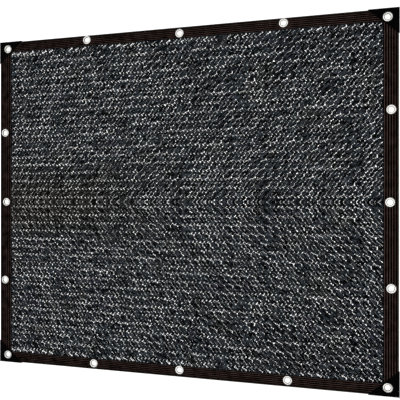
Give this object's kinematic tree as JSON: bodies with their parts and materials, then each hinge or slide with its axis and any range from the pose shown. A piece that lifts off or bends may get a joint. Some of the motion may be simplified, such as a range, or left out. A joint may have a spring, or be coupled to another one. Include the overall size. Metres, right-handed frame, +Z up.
{
  "type": "shade cloth",
  "caption": "Flat rectangular shade cloth of knitted net, bound with folded ribbed tape, with patched corners and metal eyelets along its edges.",
  "frame": {"origin": "middle of the panel's underside, on the ground that it lies on", "axes": "+X along the long sides, to the picture's right; +Y along the short sides, to the picture's top; +Z up, out of the front face"},
  "size_m": [1.4032, 1.2032, 0.007],
  "materials": {
    "net": "knitted black polyethylene tape and thread, half shiny",
    "tape": "ribbed woven webbing, very dark brown, matt",
    "patch": "smooth black coated fabric",
    "eyelet": "bright pressed metal"
  },
  "bodies": {
    "root": {"net": "net", "binding_bottom": "tape", "binding_right": "tape", "binding_top": "tape", "binding_left": "tape", "patch_bottom_left": "patch", "patch_bottom_right": "patch", "patch_top_right": "patch", "patch_top_left": "patch", "eyelet_bottom_1": "eyelet", "eyelet_bottom_2": "eyelet", "eyelet_bottom_3": "eyelet", "eyelet_right_1": "eyelet", "eyelet_right_2": "eyelet", "eyelet_right_3": "eyelet", "eyelet_top_1": "eyelet", "eyelet_top_2": "eyelet", "eyelet_top_3": "eyelet", "eyelet_left_1": "eyelet", "eyelet_left_2": "eyelet", "eyelet_left_3": "eyelet", "eyelet_bottom_left": "eyelet", "eyelet_bottom_right": "eyelet", "eyelet_top_right": "eyelet", "eyelet_top_left": "eyelet"}
  },
  "joints": []
}
